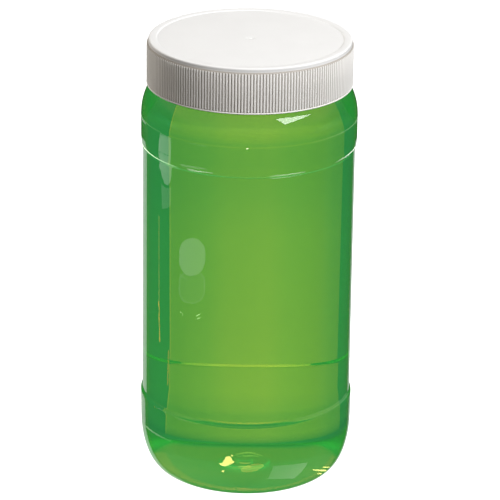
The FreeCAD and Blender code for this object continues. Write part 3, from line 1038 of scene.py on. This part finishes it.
def make_base_glints():
    """Painted highlights for the rings of the gate and the sparkles of the base, where light is focused by
    the liquid: cards seen only in reflection.
    """
    # Painted highlights on the gate's rings, seen in reflection.
    gate_glint_path_a = [(-6.5, 22.4, 0.5), (-3, 23.3, 1.0), (1.7, 23.7, 1.0), (6.5, 23.3, 1.0), (10, 22.4, 0.5)]
    streak("gate_glint_a", gate_glint_path_a, THIN_HALF, LIME, HEEL_FAR)
    gate_glint_path_b = [(-4, 22.3, 0.5), (-1, 22.7, 1.0), (4.5, 22.7, 1.0), (7.5, 22.3, 0.5)]
    streak("gate_glint_b", gate_glint_path_b, THIN_HALF, LIME, HEEL_FAR)
    shine("gate_ring_glint", capsule(4.0, 6.2, 14.6, 18.5, 1.95), GATE_GLINT_FILL, HEEL_FAR, GATE_GLINT_RIM)
    left = [(-10.6, 21.6), (-8.5, 22.3), (-7.1, 21.6), (-6.8, 19.9), (-5.2, 20.0), (-5.8, 19.2)]
    left += [(-9.8, 17.4), (-11.2, 16.7), (-14.0, 18.0), (-11.8, 18.7), (-11.0, 20.6)]
    shine("caustic_left", left, WARM, HEEL_FAR)
    dot = [(-12.4, 14.5), (-11.3, 14.6), (-11.3, 13.8), (-12.4, 13.7)]
    shine("caustic_dot", dot, WARM, HEEL_FAR)
    spot = [(-7.4, 23.1), (-6.1, 22.9), (-6.1, 22.2), (-7.1, 22.4)]
    shine("caustic_spot", spot, WARM, HEEL_FAR)
    streak("caustic_a", [(50.5, 9.0, 1.0), (60.0, 5.9, 0.6)], FINE_HALF, PALE, HEEL_FAR)
    middle = [(42.1, 10.1, 1.2), (49.4, 7.6, 1.2), (57.4, 4.9, 0.6)]
    streak("caustic_b", middle, 0.4, PALE, HEEL_FAR)
    streak("caustic_c", [(47.9, 6.2, 1.0), (53.0, 4.6, 0.8)], FINE_HALF, PALE, HEEL_FAR)


def make_wall_glints():
    """Painted highlights: the small glints under the oval, the spark on the band and the warm lines at the
    left, as cards seen only in reflection.
    """
    # Painted highlights under the oval, seen in reflection.
    streak("small_glint_a", [(-38.3, 87.3, 1.0), (-36.0, 85.6, 1.0)], 0.2, SMALL_GLINT, SMALL_FAR)
    streak("small_glint_b", [(-28.3, 87.1, 1.0), (-25.7, 88.9, 1.0)], 0.2, SMALL_GLINT, SMALL_FAR)
    streak("small_glint_c", [(-28.4, 85.4, 1.0), (-25.6, 87.1, 1.0)], 0.2, SMALL_GLINT, SMALL_FAR)
    shine("spark", [(-1.5, 168.5), (-0.8, 168.6), (-0.1, 167.6), (-0.6, 167.3)], SPARK, TOUCHING)
    shine("line_high", [(-56.5, 128.7), (-55.7, 128.9), (-55.4, 88.0), (-56.3, 88.0)], DULL_ORANGE)
    shine("line_low", [(-56.4, 88.0), (-55.6, 88.0), (-54.6, 68.7), (-55.4, 68.4)], ORANGE)
    shine("line_edge", [(-47.6, 66.7), (-46.7, 66.9), (-47.4, 49.7), (-48.3, 49.5)], EDGE_ORANGE)


def linked(name, objects):
    """A collection that holds these objects, for light linking."""
    collection = bpy.data.collections.new(name)
    for obj in objects:
        collection.objects.link(obj)
    return collection


def make_lights(pieces, floor):
    """Key at the right front, rim at the left rear, fill, overhead, and two lights for the floor alone."""
    subject, ground, clear = linked("subject", pieces), linked("ground", [floor]), linked("clear", [floor])
    area_light("key", (52, 44, 1.3), 0.7, KEY_POWER, subject)
    area_light("rim", (-135, 8, 1.2), 0.5, RIM_POWER, subject, WARM_LIGHT)
    area_light("fill", (-62, 14, 1.3), 0.6, FILL_POWER, subject, WARM_LIGHT)
    area_light("top", (0, 88, 1.2), 0.9, TOP_POWER, subject)
    unshadowed = area_light("floor_light", (0, 89, 2.5), 2.4, FLOOR_POWER, ground)
    unshadowed.light_linking.blocker_collection = clear
    area_light("floor_shade", (0, 89, 2.5), 2.4, FLOOR_POWER * SHADOW_SHARE, ground)


def area_light(name, place, size, power, receivers, colour=PLAIN):
    """A square softbox aimed at the jar, placed by azimuth, elevation and distance.

    Azimuth 0 is the camera's side and positive to the right. It lights only its receivers, unseen itself.
    """
    azimuth, elevation, distance = place
    away = Vector(toward(180 - azimuth, elevation, 1.0))
    data = bpy.data.lights.new(name, "AREA")
    data.shape = "SQUARE"
    data.size = size
    data.energy = power
    data.color = colour
    obj = bpy.data.objects.new(name, data)
    obj.location = AIM + away * distance
    obj.rotation_euler = away.to_track_quat("Z", "Y").to_euler()
    obj.light_linking.receiver_collection = receivers
    obj.visible_glossy = False
    obj.visible_transmission = False
    bpy.context.scene.collection.objects.link(obj)
    return obj


# ---------------------------------------------------------------- camera
def make_camera():
    """A long lens, a little above the jar and rolled by under a degree."""
    forward = Vector((0.0, math.cos(CAMERA_ELEVATION), -math.sin(CAMERA_ELEVATION)))
    level = Vector((1.0, 0.0, 0.0))
    up = level.cross(forward)
    right = level * math.cos(CAMERA_ROLL) + up * math.sin(CAMERA_ROLL)
    up = up * math.cos(CAMERA_ROLL) - level * math.sin(CAMERA_ROLL)
    turn = Matrix((right, up, -forward)).transposed()
    data = bpy.data.cameras.new("camera")
    data.sensor_width = SENSOR_W
    data.lens = CAMERA_LENS
    camera = bpy.data.objects.new("camera", data)
    camera.location = CAMERA_PLACE
    camera.rotation_euler = turn.to_euler()
    bpy.context.scene.collection.objects.link(camera)
    bpy.context.scene.camera = camera


def set_scene():
    """Plain colours, and enough bounces for light that turns inside the jar."""
    scene = bpy.context.scene
    scene.view_settings.view_transform = "Standard"
    scene.cycles.max_bounces = 40
    scene.cycles.transmission_bounces = 40
    scene.cycles.glossy_bounces = 12


def build():
    """Makes the pieces, the studio and the camera."""
    jar, solution, cap, liner = make_jar(), make_solution(), make_cap(), make_liner()
    dress(jar, jar_material(), "jar", "jar_body")
    dress(solution, solution_material(), "jar", "disinfectant_solution")
    dress(cap, cap_material(), "cap", "screw_cap")
    dress(liner, liner_material(), "liner", "cap_liner")
    make_world()
    floor = make_floor()
    make_tent()
    make_windows()
    make_line_glints()
    make_base_glints()
    make_wall_glints()
    make_lights((jar, solution, cap, liner), floor)
    make_camera()
    set_scene()


build()
